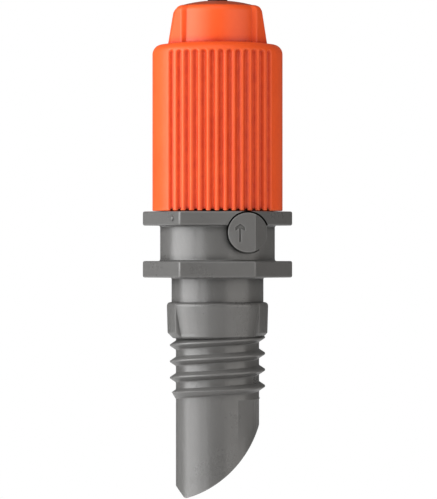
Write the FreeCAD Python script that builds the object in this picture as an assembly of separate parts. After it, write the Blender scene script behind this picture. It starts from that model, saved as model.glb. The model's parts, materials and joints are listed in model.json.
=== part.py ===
import FreeCAD, Part

import os
from math import atan2, cos, radians, sin, sqrt, tan

from FreeCAD import Vector

# Adjustable spray nozzle for a micro-irrigation pipe: a grey body that screws into the pipe wall, a dark
# spray pin pressed in the body, a ribbed regulating cap screwed on the body, and the cap's seal ring.
# Millimetres. +Z is the way the water leaves. Z = 0 is the underside of the lower flange, which rests on
# the pipe. The marking pad is on the -Y side, and the slanted tip is open towards +X.

# ---- driving dimensions -------------------------------------------------------------------------------

# Spigot and its slanted tip
SPIGOT_R = 2.30            # outside radius, a light press in 4.6 mm tube
SPIGOT_WALL = 0.80
SPIGOT_LENGTH = 12.14      # from the flange's underside to the point
TIP_CUT_R = 6.10           # the slant is an arc of this radius, seen from the -Y side
TIP_CUT_MARGIN = 0.28      # how far outside the spigot the arc starts
TIP_LAND = 0.50            # from the spigot's side to the point
TIP_BACK_ANGLE = 37.3      # the point's back chamfer, from vertical
FEED_BORE_R = 1.10         # water bore above the spigot
FEED_BORE_Z = 1.60         # where the feed bore begins

# Pipe neck and barbed collar
NECK_STEP = 0.24           # neck over spigot, in radius
NECK_LENGTH = 1.36         # holds the pipe wall
BARB_STEP = 0.27           # collar's top over the neck, in radius
COLLAR_LENGTH = 1.99
COLLAR_FOOT_STEP = 0.20    # collar's foot over the spigot, in radius
LUG_DRAFT = 0.05           # the side lugs' loss of radius towards the foot
LUG_HALF_WIDTH = 1.56
LUG_CHAMFER = 0.30
COLLAR_CHAMFER = 0.12      # at the collar's brim

# Self-tapping thread on the spigot
TAP_PITCH = 0.90
TAP_HEIGHT = 0.33
TAP_BASE = 0.50
TAP_CREST = 0.08
TAP_LENGTH = 3.40          # from the collar's foot down
TAP_RUN_OUT = 0.75         # over which the ridge grows from nothing
TAP_CREST_DROP = 0.84      # the first crest at +X, below the collar's foot

# Flanges, waist and marks
HEX_ACROSS = 7.20          # across flats, for a 7.2 mm spanner or the fingers
LOWER_FLANGE = 0.91        # thickness
UPPER_FLANGE = 0.78
WAIST_HEIGHT = 1.96
WAIST_STEP = 0.43          # flange flats over the waist, in radius
FLANGE_ROUND = 0.08
PAD_R = 1.08
PAD_X = 1.66
PAD_BELOW_TOP = 1.17       # pad's centre below the upper flange's top
PAD_GROOVE_WIDTH = 0.09
PAD_GROOVE_DEPTH = 0.10
GATE_R = 0.14
GATE_HEIGHT = 0.07
GATE_X = -2.45

# Regulating cap
CAP_R = 3.60
CAP_DRAFT = 0.02           # loss of radius up to the shoulder
CAP_GAP = 0.03             # between the closed cap and the upper flange
CAP_HEIGHT = 9.12          # up to the shoulder
CAP_SHOULDER_ROUND = 0.55
CAP_SHOULDER_RISE = 0.18   # from the sleeve's edge up to the head's foot
CAP_TURN = 3.25            # degrees that the closed cap stands turned about +Z
CAP_TRAVEL = 1.25          # rise from closed to fully open

# The cap's gripping grooves: two panels of straight-pull grooves, front and back
GROOVES_EACH_SIDE = 6      # on each side of a panel's middle groove
GROOVE_R = 0.17
GROOVE_FAN_R = 4.98        # the grooves' places are this radius times the sine of equal steps
GROOVE_STEP = 5.48         # degrees
GROOVE_TOP_DROP = 0.28     # their rounded ends, below the shoulder

# The cap's head
SHOULDER_WIDTH = 1.20      # cap's radius over the head's round core
HEAD_DRAFT = 1.0           # degrees
HEAD_HEIGHT = 2.13         # from the shoulder to the dome's edge
HEAD_ROUND = 0.40
WING_OUT = 0.34            # wings over the core at their foot, in radius
WING_DRAFT = 10.0          # degrees
WING_HALF_WIDTH = 1.55
WING_CORNER_IN = 0.30      # each wing's upright front and back corners, inside the core's radius
WING_FACET = 58.0          # degrees from the front that the facet beyond each corner faces
DOME_R = 7.50

# Screw thread between the spindle and the cap
LEAD = 1.00
SPINDLE_THREAD_R = 2.36    # crest
THREAD_DEPTH = 0.36
THREAD_BASE = 0.70
THREAD_CREST = 0.26
THREAD_CLEARANCE = 0.08    # crest to root, in radius
THREAD_FOOT = 0.60         # plain neck below the spindle's thread
THREAD_RUN_OUT = 0.35
CAP_THREAD_START = 0.85    # first turn, above the cap's rim
CAP_MOUTH_CLEARANCE = 0.24
CAP_THREAD_END = 0.10      # its last turn, below the top of the spindle's thread

# Spindle's sealing land and the seal ring
LAND_STEP = 0.25           # thread root over the land, in radius
SPINDLE_DROP = 1.20        # spindle's top below the cap's shoulder
LAND_CHAMFER = 0.15
RING_SECTION_R = 0.29
RING_CLEARANCE = 0.02
RING_MARGIN = 0.95         # ring of a fully open cap, below the spindle's top
RING_TO_THREAD = 1.10
LIP_CLEARANCE = 0.10
LIP_THICKNESS = 0.30

# Chamber, seat and orifice in the cap's head
CHAMBER_STEP = 0.45        # chamber's wall over the spindle's land, in radius
CHAMBER_ROOF = 0.60        # below the shoulder
HEAD_CHAMBER_R = 1.70
ORIFICE_R = 0.75
ORIFICE_LENGTH = 1.10      # from the seat to the dome's top
ORIFICE_SINK = 0.12        # countersink at the outlet
SEAT_R = 1.35
SEAT_HALF_ANGLE = 30.0

# Spray pin
PIN_STEM_R = 0.90
PIN_STEM_LENGTH = 2.70
PIN_FLUTES = 4
PIN_FLUTE_R = 0.28
PIN_SHOULDER_R = 1.15
PIN_SHOULDER_HEIGHT = 0.50
PIN_NECK_R = 0.75
PIN_RIM = 0.30             # straight band below the sealing cone
SEAT_GAP = 0.04            # closed cone to seat, square to the cone
PIN_WAIST_R = 0.45
PIN_HEAD_R = 0.60
PIN_HEAD_HEIGHT = 0.50
PIN_FLARE = 0.25
PIN_PROUD = 0.60           # the closed pin's tip above the dome
PIN_CHAMFER = 0.08

# ---- places worked out from them ----------------------------------------------------------------------

NECK_R = SPIGOT_R + NECK_STEP
BORE_R = SPIGOT_R - SPIGOT_WALL
COLLAR_R = NECK_R + BARB_STEP
COLLAR_FOOT_R = SPIGOT_R + COLLAR_FOOT_STEP
COLLAR_FOOT_Z = -NECK_LENGTH - COLLAR_LENGTH
TAP_END_Z = COLLAR_FOOT_Z - TAP_LENGTH
WAIST_R = HEX_ACROSS / 2 - WAIST_STEP
UPPER_FLANGE_Z = LOWER_FLANGE + WAIST_HEIGHT
FLANGE_TOP_Z = UPPER_FLANGE_Z + UPPER_FLANGE
CAP_RIM_Z = FLANGE_TOP_Z + CAP_GAP
SHOULDER_Z = CAP_RIM_Z + CAP_HEIGHT
DOME_EDGE_Z = SHOULDER_Z + HEAD_HEIGHT
HEAD_R = CAP_R - SHOULDER_WIDTH
DOME_EDGE_R = HEAD_R - HEAD_HEIGHT * tan(radians(WING_DRAFT)) + WING_OUT
DOME_TOP_Z = DOME_EDGE_Z + DOME_R - sqrt(DOME_R ** 2 - DOME_EDGE_R ** 2)
SPINDLE_ROOT_R = SPINDLE_THREAD_R - THREAD_DEPTH
CAP_THREAD_ROOT_R = SPINDLE_THREAD_R + THREAD_CLEARANCE
CAP_THREAD_CREST_R = SPINDLE_ROOT_R + THREAD_CLEARANCE
LAND_R = SPINDLE_ROOT_R - LAND_STEP
CHAMBER_R = LAND_R + CHAMBER_STEP
SPINDLE_TOP_Z = SHOULDER_Z - SPINDLE_DROP
RING_Z = SPINDLE_TOP_Z - CAP_TRAVEL - RING_MARGIN
THREAD_TOP_Z = RING_Z - RING_TO_THREAD
THREAD_FOOT_Z = FLANGE_TOP_Z + THREAD_FOOT
RING_R = LAND_R + RING_CLEARANCE + RING_SECTION_R
GROOVE_HALF = RING_SECTION_R + RING_CLEARANCE
LIP_R = LAND_R + LIP_CLEARANCE
SEAT_SLOPE = tan(radians(SEAT_HALF_ANGLE))
SEAT_TOP_Z = DOME_TOP_Z - ORIFICE_LENGTH
SEAT_FOOT_Z = SEAT_TOP_Z - (SEAT_R - ORIFICE_R) / SEAT_SLOPE
OVER = 1.0                 # how far a cutting tool runs past what it cuts
SUNK = 0.10                # how far a ridge's root is buried in its wall


def turned(outline):
    """A solid of revolution about Z from (radius, height) points."""
    points = [Vector(r, 0, z) for r, z in outline]
    face = Part.Face(Part.makePolygon(points + points[:1]))
    return face.revolve(Vector(0, 0, 0), Vector(0, 0, 1), 360)


def prism(points, low, high):
    """An upright prism from (x, y) points."""
    base = [Vector(x, y, low) for x, y in points]
    return Part.Face(Part.makePolygon(base + base[:1])).extrude(Vector(0, 0, high - low))


def hexagon(low, high):
    """The hexagon of the flanges, with a flat towards -Y and corners at +X and -X."""
    corner_r = HEX_ACROSS / 2 / cos(radians(30))
    corners = [(corner_r * cos(radians(60 * i)), corner_r * sin(radians(60 * i))) for i in range(6)]
    return prism(corners, low, high)


def rings_at(shape, radius, height):
    """The circular edges about Z of this radius at this height."""
    found = []
    for edge in shape.Edges:
        curve = edge.Curve
        if curve.TypeId != "Part::GeomCircle" or abs(curve.Radius - radius) > 1e-3:
            continue
        if Vector(curve.Center.x, curve.Center.y, curve.Center.z - height).Length < 1e-3:
            found.append(edge)
    return found


def wound_ridge(root_r, crest_r, base, crest, pitch, crest_z, low, high):
    """A right-hand helical ridge from low to high, with a crest at +X at the height crest_z.
    It stands on root_r, and points inwards where crest_r is the smaller."""
    out = 1 if crest_r > root_r else -1
    flank = (base - crest) / 2 / abs(crest_r - root_r)
    sunk_half = base / 2 + SUNK * flank
    turns_below = int((crest_z - low) / pitch + 2)
    start = crest_z - turns_below * pitch
    section = [
        Vector(root_r - out * SUNK, 0, start - sunk_half),
        Vector(crest_r, 0, start - crest / 2),
        Vector(crest_r, 0, start + crest / 2),
        Vector(root_r - out * SUNK, 0, start + sunk_half),
    ]
    path = Part.makeHelix(pitch, high - start + pitch, root_r)
    path.translate(Vector(0, 0, start))
    profile = Part.makePolygon(section + section[:1])
    ridge = Part.Wire(path.Edges).makePipeShell([profile], True, True)
    if ridge.Volume < 0:
        ridge.reverse()
    return ridge


def ridge_envelope(root_r, crest_r, low, high, run_in, run_out):
    """The space that a ridge may fill. It clears the whole ridge, and tapers to nothing at its ends."""
    out = 1 if crest_r > root_r else -1
    buried_r, clear_r = root_r - 2 * out * SUNK, crest_r + out * SUNK
    return turned([(buried_r, low), (root_r, low), (clear_r, low + run_in), (clear_r, high - run_out),
                   (root_r, high), (buried_r, high)])


def spigot_side():
    """The spigot's outline from the -Y side, as a slab along Y: a slanted arc and a chamfered back."""
    arc_x = SPIGOT_R + TIP_CUT_MARGIN - TIP_CUT_R
    point_x = -SPIGOT_R + TIP_LAND
    arc_z = -SPIGOT_LENGTH + sqrt(TIP_CUT_R ** 2 - (point_x - arc_x) ** 2)
    back_x = -SPIGOT_R - OVER
    back_z = -SPIGOT_LENGTH + (point_x - back_x) / tan(radians(TIP_BACK_ANGLE))
    half_way = atan2(-SPIGOT_LENGTH - arc_z, point_x - arc_x) / 2
    point = Vector(point_x, -SPIGOT_R - OVER, -SPIGOT_LENGTH)
    middle = Vector(arc_x + TIP_CUT_R * cos(half_way), point.y, arc_z + TIP_CUT_R * sin(half_way))
    front = Vector(arc_x + TIP_CUT_R, point.y, arc_z)
    top_front = Vector(front.x, point.y, 0)
    top_back = Vector(back_x, point.y, 0)
    back = Vector(back_x, point.y, back_z)
    slant = Part.Arc(point, middle, front).toShape()
    rest = Part.makePolygon([front, top_front, top_back, back, point])
    return Part.Face(Part.Wire([slant] + rest.Edges)).extrude(Vector(0, 2 * (SPIGOT_R + OVER), 0))


def spigot():
    """The slanted spigot with its self-tapping thread, without its bore."""
    bar = Part.makeCylinder(SPIGOT_R, SPIGOT_LENGTH, Vector(0, 0, -SPIGOT_LENGTH)).common(spigot_side())
    crest_r = SPIGOT_R + TAP_HEIGHT
    ridge = wound_ridge(SPIGOT_R, crest_r, TAP_BASE, TAP_CREST, TAP_PITCH,
                        COLLAR_FOOT_Z - TAP_CREST_DROP, TAP_END_Z, COLLAR_FOOT_Z)
    space = ridge_envelope(SPIGOT_R, crest_r, TAP_END_Z, COLLAR_FOOT_Z + SUNK, TAP_RUN_OUT, 0.01)
    return bar.fuse(ridge.common(space))


def collar():
    """The barbed collar: a cone on the front and back, and a lug with flat faces on each side."""
    top = -NECK_LENGTH
    brim = [(COLLAR_R, top - COLLAR_CHAMFER), (COLLAR_R - COLLAR_CHAMFER, top), (0, top)]
    cone = turned([(0, COLLAR_FOOT_Z), (COLLAR_FOOT_R, COLLAR_FOOT_Z)] + brim)
    lug_r = COLLAR_R - LUG_DRAFT
    lugs = turned([(0, COLLAR_FOOT_Z), (lug_r - LUG_CHAMFER, COLLAR_FOOT_Z),
                   (lug_r, COLLAR_FOOT_Z + LUG_CHAMFER)] + brim)
    between = Part.makeBox(2 * COLLAR_R, 2 * LUG_HALF_WIDTH, COLLAR_LENGTH,
                           Vector(-COLLAR_R, -LUG_HALF_WIDTH, COLLAR_FOOT_Z))
    return cone.fuse(lugs.common(between))


def flange(low, thickness):
    """One hexagonal flange with lightly rounded edges."""
    plate = hexagon(low, low + thickness)
    return plate.makeFillet(FLANGE_ROUND, plate.Edges)


def marking_pad():
    """The round pad that faces -Y between the flanges, flush with the hexagon's sides."""
    disc = Part.makeCylinder(PAD_R, HEX_ACROSS, Vector(PAD_X, 0, FLANGE_TOP_Z - PAD_BELOW_TOP),
                             Vector(0, -1, 0))
    return disc.common(hexagon(LOWER_FLANGE / 2, FLANGE_TOP_Z - FLANGE_ROUND))


def pad_groove():
    """The thin groove round the pad, cut in the upper flange."""
    place = Vector(PAD_X, 0, FLANGE_TOP_Z - PAD_BELOW_TOP)
    ring = Part.makeCylinder(PAD_R + PAD_GROOVE_WIDTH, HEX_ACROSS, place, Vector(0, -1, 0))
    ring = ring.cut(Part.makeCylinder(PAD_R, HEX_ACROSS, place, Vector(0, -1, 0)))
    skin = hexagon(UPPER_FLANGE_Z, FLANGE_TOP_Z + OVER)
    core = hexagon(UPPER_FLANGE_Z - OVER, FLANGE_TOP_Z + 2 * OVER)
    inset = Vector(0, PAD_GROOVE_DEPTH, 0)
    core.translate(inset)
    return ring.common(skin).cut(core)


def gate_mark():
    """The small nub that the moulding gate leaves on the upper flange's left front side."""
    out = Vector(-cos(radians(30)), -sin(radians(30)), 0)
    y = (HEX_ACROSS / 2 - out.x * GATE_X) / out.y
    foot = Vector(GATE_X, y, UPPER_FLANGE_Z + UPPER_FLANGE / 2) - out * GATE_HEIGHT
    return Part.makeCylinder(GATE_R, 2 * GATE_HEIGHT, foot, out)


def spindle():
    """The spindle inside the cap: plain neck, screw thread and sealing land."""
    core = turned([
        (0, 0), (SPINDLE_ROOT_R, 0), (SPINDLE_ROOT_R, THREAD_TOP_Z), (LAND_R, THREAD_TOP_Z + LAND_STEP),
        (LAND_R, SPINDLE_TOP_Z - LAND_CHAMFER), (LAND_R - LAND_CHAMFER, SPINDLE_TOP_Z),
        (0, SPINDLE_TOP_Z)])
    ridge = wound_ridge(SPINDLE_ROOT_R, SPINDLE_THREAD_R, THREAD_BASE, THREAD_CREST, LEAD,
                        THREAD_FOOT_Z, THREAD_FOOT_Z, THREAD_TOP_Z)
    space = ridge_envelope(SPINDLE_ROOT_R, SPINDLE_THREAD_R, THREAD_FOOT_Z, THREAD_TOP_Z,
                           THREAD_RUN_OUT, THREAD_RUN_OUT)
    return core.fuse(ridge.common(space))


def water_bore():
    """The stepped bore from the slanted tip up to the pin's seat."""
    step_z = FEED_BORE_Z - (BORE_R - FEED_BORE_R)
    pin_z = SPINDLE_TOP_Z - PIN_STEM_LENGTH
    return turned([
        (0, -SPIGOT_LENGTH - OVER), (BORE_R, -SPIGOT_LENGTH - OVER), (BORE_R, step_z),
        (FEED_BORE_R, FEED_BORE_Z), (FEED_BORE_R, pin_z - (FEED_BORE_R - PIN_STEM_R)),
        (PIN_STEM_R, pin_z), (PIN_STEM_R, SPINDLE_TOP_Z + OVER), (0, SPINDLE_TOP_Z + OVER)])


def threaded_body():
    neck = Part.makeCylinder(NECK_R, NECK_LENGTH + LOWER_FLANGE / 2, Vector(0, 0, -NECK_LENGTH))
    waist = Part.makeCylinder(WAIST_R, FLANGE_TOP_Z - LOWER_FLANGE, Vector(0, 0, LOWER_FLANGE / 2))
    upper = flange(UPPER_FLANGE_Z, UPPER_FLANGE).cut(pad_groove())
    solid = spindle().fuse([
        neck, waist, flange(0, LOWER_FLANGE), upper, marking_pad(), gate_mark(), collar(), spigot()])
    return solid.cut(water_bore()).removeSplitter()


def groove_cutters():
    """Both panels of gripping grooves, each groove a round-ended vertical rod on the cap's surface."""
    top = SHOULDER_Z - GROOVE_TOP_DROP - GROOVE_R
    rods = []
    for i in range(-GROOVES_EACH_SIDE, GROOVES_EACH_SIDE + 1):
        x = GROOVE_FAN_R * sin(radians(GROOVE_STEP * i))
        y = sqrt(CAP_R ** 2 - x ** 2)
        for side in (-1, 1):
            foot = Vector(x, side * y, CAP_RIM_Z - OVER)
            rods.append(Part.makeCylinder(GROOVE_R, top - foot.z, foot))
            rods.append(Part.makeSphere(GROOVE_R, Vector(x, side * y, top)))
    return rods


def head_wings(low):
    """The head's two side wings, as one bar along X: sloped ends, upright corners, slanted facets."""
    slope = tan(radians(WING_DRAFT))
    corner_x = HEAD_R - WING_CORNER_IN

    def section(z):
        end_x = HEAD_R + WING_OUT - (z - SHOULDER_Z) * slope
        end_y = WING_HALF_WIDTH - (end_x - corner_x) * tan(radians(WING_FACET))
        quarter = [(end_x, end_y), (corner_x, WING_HALF_WIDTH)]
        mirrored = [(-x, y) for x, y in reversed(quarter)]
        points = quarter + mirrored + [(-x, -y) for x, y in quarter + mirrored]
        return Part.makePolygon([Vector(x, y, z) for x, y in points + points[:1]])

    return Part.makeLoft([section(low), section(DOME_TOP_Z)], True, True)


def cap_outside():
    """The cap's outer form, before its inside is cut."""
    slope = tan(radians(HEAD_DRAFT))
    head_foot_z = SHOULDER_Z + CAP_SHOULDER_RISE
    sleeve = turned([(0, CAP_RIM_Z), (CAP_R, CAP_RIM_Z), (CAP_R - CAP_DRAFT, SHOULDER_Z),
                     (HEAD_R, head_foot_z), (0, head_foot_z)])
    sleeve = sleeve.makeFillet(CAP_SHOULDER_ROUND, rings_at(sleeve, CAP_R - CAP_DRAFT, SHOULDER_Z))
    sleeve = sleeve.cut(groove_cutters())
    low = SHOULDER_Z - CAP_SHOULDER_ROUND
    head_r = HEAD_R + CAP_SHOULDER_ROUND * slope
    tall = DOME_TOP_Z + OVER
    head = turned([(0, low), (head_r, low), (head_r - (tall - low) * slope, tall), (0, tall)])
    head = head.fuse(head_wings(low))
    dome = Part.makeSphere(DOME_R, Vector(0, 0, DOME_TOP_Z - DOME_R))
    head = head.common(dome)
    edges = [e for e in head.Edges if e.BoundBox.ZMin > SHOULDER_Z + HEAD_HEIGHT / 2]
    head = head.makeFillet(HEAD_ROUND, edges)
    whole = sleeve.fuse(head)
    whole.rotate(Vector(0, 0, 0), Vector(0, 0, 1), CAP_TURN)
    return whole


def cap_inside():
    """The cap's thread space, seal groove, chamber, seat and orifice."""
    thread_top = THREAD_TOP_Z - CAP_THREAD_END
    groove_low, groove_high = RING_Z - GROOVE_HALF, RING_Z + GROOVE_HALF
    groove_r = RING_R + GROOVE_HALF
    mouth_r = CAP_THREAD_ROOT_R + CAP_MOUTH_CLEARANCE
    mouth_z = CAP_RIM_Z + CAP_THREAD_START
    roof_z = SHOULDER_Z - CHAMBER_ROOF
    sink_z = DOME_TOP_Z - ORIFICE_SINK
    return turned([
        (0, CAP_RIM_Z - OVER), (mouth_r, CAP_RIM_Z - OVER), (mouth_r, mouth_z - CAP_MOUTH_CLEARANCE),
        (CAP_THREAD_ROOT_R, mouth_z), (CAP_THREAD_ROOT_R, thread_top), (LIP_R, groove_low - LIP_THICKNESS),
        (LIP_R, groove_low), (groove_r, groove_low), (groove_r, groove_high), (LIP_R, groove_high),
        (LIP_R, groove_high + LIP_THICKNESS), (CHAMBER_R, groove_high + 2 * LIP_THICKNESS),
        (CHAMBER_R, roof_z), (HEAD_CHAMBER_R, roof_z), (HEAD_CHAMBER_R, SEAT_FOOT_Z),
        (SEAT_R, SEAT_FOOT_Z), (ORIFICE_R, SEAT_TOP_Z), (ORIFICE_R, sink_z),
        (ORIFICE_R + ORIFICE_SINK + OVER, DOME_TOP_Z + OVER), (0, DOME_TOP_Z + OVER)])


def regulating_cap():
    low = CAP_RIM_Z + CAP_THREAD_START
    high = THREAD_TOP_Z - CAP_THREAD_END
    ridge = wound_ridge(CAP_THREAD_ROOT_R, CAP_THREAD_CREST_R, THREAD_BASE, THREAD_CREST, LEAD,
                        THREAD_FOOT_Z + LEAD / 2, low, high)
    space = ridge_envelope(CAP_THREAD_ROOT_R, CAP_THREAD_CREST_R, low, high,
                           THREAD_RUN_OUT, THREAD_RUN_OUT)
    return cap_outside().cut(cap_inside()).fuse(ridge.common(space)).removeSplitter()


def cap_seal_ring():
    return Part.makeTorus(RING_R, RING_SECTION_R, Vector(0, 0, RING_Z))


def spray_pin():
    """The pin: fluted stem, shoulder on the spindle's top, sealing cone, waist and spray head."""
    foot_z = SPINDLE_TOP_Z - PIN_STEM_LENGTH
    shoulder_z = SPINDLE_TOP_Z + PIN_SHOULDER_HEIGHT
    gap = SEAT_GAP / cos(radians(SEAT_HALF_ANGLE))

    def cone_z(radius):
        return SEAT_TOP_Z - (radius + gap - ORIFICE_R) / SEAT_SLOPE

    rim_z = cone_z(PIN_SHOULDER_R)
    tip_z = DOME_TOP_Z + PIN_PROUD
    head_z = tip_z - PIN_HEAD_HEIGHT
    pin = turned([
        (0, foot_z), (PIN_STEM_R - PIN_CHAMFER, foot_z), (PIN_STEM_R, foot_z + PIN_CHAMFER),
        (PIN_STEM_R, SPINDLE_TOP_Z), (PIN_SHOULDER_R, SPINDLE_TOP_Z), (PIN_SHOULDER_R, shoulder_z),
        (PIN_NECK_R, shoulder_z), (PIN_NECK_R, rim_z - PIN_RIM), (PIN_SHOULDER_R, rim_z - PIN_RIM / 2),
        (PIN_SHOULDER_R, rim_z), (PIN_WAIST_R, cone_z(PIN_WAIST_R)), (PIN_WAIST_R, head_z - PIN_FLARE),
        (PIN_HEAD_R, head_z), (PIN_HEAD_R, tip_z - PIN_CHAMFER), (PIN_HEAD_R - PIN_CHAMFER, tip_z),
        (0, tip_z)])
    flutes = []
    for i in range(PIN_FLUTES):
        turn = radians(360 / PIN_FLUTES * i)
        foot = Vector(PIN_STEM_R * cos(turn), PIN_STEM_R * sin(turn), foot_z - OVER)
        flutes.append(Part.makeCylinder(PIN_FLUTE_R, shoulder_z - foot.z, foot))
    return pin.cut(flutes)


def write(name, shape):
    solid = shape if shape.ShapeType == "Solid" else shape.Solids[0]
    assert solid.isValid() and len(shape.Solids) == 1, name
    solid.exportStep("parts/" + name + ".step")
    print(name, "volume", round(solid.Volume, 3))


os.makedirs("parts", exist_ok=True)
write("threaded_body", threaded_body())
write("spray_pin", spray_pin())
write("cap_seal_ring", cap_seal_ring())
write("regulating_cap", regulating_cap())
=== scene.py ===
import json
from math import asin, atan2, cos, pi, radians, sin, sqrt, tan

import bpy
from mathutils import Matrix, Vector


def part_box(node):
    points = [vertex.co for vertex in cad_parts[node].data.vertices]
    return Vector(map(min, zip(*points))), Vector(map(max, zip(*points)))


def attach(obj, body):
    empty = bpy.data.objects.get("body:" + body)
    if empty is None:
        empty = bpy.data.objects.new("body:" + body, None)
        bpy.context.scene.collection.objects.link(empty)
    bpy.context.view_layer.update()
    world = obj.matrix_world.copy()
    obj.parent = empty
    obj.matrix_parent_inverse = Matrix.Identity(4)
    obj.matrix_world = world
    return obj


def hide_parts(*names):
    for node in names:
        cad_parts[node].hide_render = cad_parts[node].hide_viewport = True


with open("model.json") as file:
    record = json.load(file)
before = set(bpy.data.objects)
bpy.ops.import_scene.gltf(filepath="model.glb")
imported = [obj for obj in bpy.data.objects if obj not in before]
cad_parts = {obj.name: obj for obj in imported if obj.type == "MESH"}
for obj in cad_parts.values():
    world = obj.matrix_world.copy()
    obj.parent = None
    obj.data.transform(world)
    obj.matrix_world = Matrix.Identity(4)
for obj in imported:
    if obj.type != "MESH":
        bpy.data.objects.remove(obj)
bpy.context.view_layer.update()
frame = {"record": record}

# Adjustable spray nozzle for a micro-irrigation pipe, in four moulded pieces: the grey threaded body, the
# dark spray pin pressed in it, the ribbed orange cap screwed on it, and the cap's rubber seal ring.
# Pieces are modelled in millimetres and turned into metres when they are finished. +Z is the way the
# water leaves, -Y is the front with the marking pad, and the slanted tip is open towards +X.

MM = 0.001
QUARTER = pi / 2
FULL = 2 * pi

# ---- sizes and places, from the frame -----------------------------------------------------------------


def box_mm(node):
    low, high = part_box(node)
    return low / MM, high / MM


mounts = {mount["name"]: mount for mount in frame["record"]["mounts"]}
body_low, body_high = box_mm("threaded_body")
cap_low, cap_high = box_mm("regulating_cap")
pin_low, pin_high = box_mm("spray_pin")
ring_low, ring_high = box_mm("cap_seal_ring")

SPIGOT_R = mounts["tube_spigot"]["dims"]["r_mm"]
BORE_R = mounts["inlet_bore"]["dims"]["r_mm"]
NECK_R = mounts["pipe_seat"]["dims"]["r_mm"]
NECK_LENGTH = mounts["pipe_seat"]["dims"]["length_mm"]
TAP_CREST_R = mounts["tapping_thread"]["dims"]["r_mm"]
TAP_LENGTH = mounts["tapping_thread"]["dims"]["length_mm"]
TIP_Z = body_low.z
SPINDLE_TOP_Z = body_high.z
FLAT_R = body_high.y                # centre to the hexagons' flats
CAP_R = cap_high.x
RIM_Z = cap_low.z
PIN_FOOT_Z, PIN_TIP_Z = pin_low.z, pin_high.z
RING_Z = (ring_low.z + ring_high.z) / 2

# ---- sizes that the boxes don't give, in millimetres --------------------------------------------------

LOWER_FLANGE = 0.91
WAIST_HEIGHT = 1.96
UPPER_FLANGE = 0.78
WAIST_R = FLAT_R - 0.43
FLANGE_TOP_Z = LOWER_FLANGE + WAIST_HEIGHT + UPPER_FLANGE
FLANGE_ROUND = 0.10
FLANGE_INSIDE_R = WAIST_R - 0.30    # where the core ends inside a flange
WAIST_FILLET = 0.13
PAD_R = 1.08
PAD_X = 1.66
PAD_Z = FLANGE_TOP_Z - 1.17
PAD_GROOVE_WIDTH = 0.09
PAD_GROOVE_DEPTH = 0.10
ARROW_X = PAD_X - 0.42
ARROW_FOOT_Z = PAD_Z - 0.52
ARROW_TOP_Z = PAD_Z + 0.42
ARROW_STROKE = 0.11
ARROW_HALF_WIDTH = 0.26
ARROW_BARB = 0.20
ARROW_DEPTH = 0.05
GATE_X = -2.45
GATE_R = 0.14
GATE_RISE = 0.10

COLLAR_R = NECK_R + 0.27
COLLAR_FOOT_R = SPIGOT_R + 0.20
COLLAR_FOOT_Z = -NECK_LENGTH - 1.99
BRIM_ROUND = 0.20
LUG_R = COLLAR_R - 0.05
LUG_HALF_WIDTH = 1.56
LUG_TAPER = 0.30
LUG_ROUND = 0.08

TAP_PITCH = 0.90
TAP_CREST_Z = COLLAR_FOOT_Z - 0.84  # first crest on the +X side
TIP_CUT_R = 6.10
TIP_CUT_X = SPIGOT_R + 0.28 - TIP_CUT_R
TIP_LAND = 0.50
TIP_BACK = radians(37.3)            # the point's back chamfer, from vertical
TIP_ROUND = 0.18

LEAD = 1.00                         # of the screw thread between the spindle and the cap
SPINDLE_CREST_R = 2.36
SPINDLE_ROOT_R = SPINDLE_CREST_R - 0.36
THREAD_GAP = 0.08
THREAD_END = 0.10                   # the cap's last turn, below the top of the spindle's thread
LAND_R = SPINDLE_ROOT_R - 0.25
THREAD_TOP_Z = RING_Z - 1.10
THREAD_FOOT_Z = FLANGE_TOP_Z + 0.60
THREAD_RUN = 0.35                   # over which both threads taper off at their ends
FEED_BORE_R = 1.10
FEED_BORE_Z = 1.60

PIN_STEM_R = 0.90
PIN_CONE_R = 1.15                   # of the sealing cone, and of the shoulder on the spindle
PIN_MIDDLE_R = 0.75
PIN_WAIST_R = 0.45
PIN_HEAD_R = 0.60
PIN_HEAD_HEIGHT = 0.50
PIN_SHOULDER_Z = SPINDLE_TOP_Z + 0.50
PIN_GAP = 0.04                      # from the closed cap's seat to the sealing cone
FLUTE_R = 0.28
RING_MIDDLE_R = LAND_R + 0.31
RING_SECTION_R = 0.277
RING_FLASH = 0.012

SHOULDER_Z = RIM_Z + 9.12
SHOULDER_ROUND = 0.55
SHOULDER_RISE = 0.18                # from the sleeve's round edge up to the head's foot
HEAD_R = CAP_R - 1.20               # the head's round core
HEAD_SLOPE = tan(radians(1))
HEAD_HEIGHT = 2.13
HEAD_ROUND = 0.40
HEAD_FOOT_Z = SHOULDER_Z - 0.30     # buried in the sleeve
WING_OUT = 0.34                     # wings over the core, at their foot
WING_SLOPE = tan(radians(10))
WING_HALF_WIDTH = 1.55
WING_CORNER_X = HEAD_R - 0.30
WING_FACET = tan(radians(58))
DOME_R = 7.50
DOME_EDGE_R = HEAD_R - HEAD_HEIGHT * WING_SLOPE + WING_OUT
DOME_TOP_Z = SHOULDER_Z + HEAD_HEIGHT + DOME_R - sqrt(DOME_R ** 2 - DOME_EDGE_R ** 2)
CAP_TURN = radians(3.25)
RIB_COUNT = 13                      # grooves in each of the two gripping panels
RIB_FAN_R = 4.98
RIB_STEP = radians(5.48)
RIB_DEPTH = 0.18
RIB_HALF_WIDTH = 0.235
RIB_TOP_Z = SHOULDER_Z - 0.45
CAP_THREAD_R = SPINDLE_CREST_R + THREAD_GAP
MOUTH_FLARE = 0.24
MOUTH_Z = RIM_Z + 0.85
SEAL_ROOM = 0.31                    # half the height of the seal ring's groove
CHAMBER_R = LAND_R + 0.45
CHAMBER_ROOF_Z = SHOULDER_Z - 0.60
RELIEF_R = 1.70                     # of the step between the chamber and the seat
ORIFICE_R = 0.75
ORIFICE_FLARE = 0.12
SEAT_R = 1.35
SEAT_TOP_Z = DOME_TOP_Z - 1.10
SEAT_SLOPE = tan(radians(30))

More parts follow.
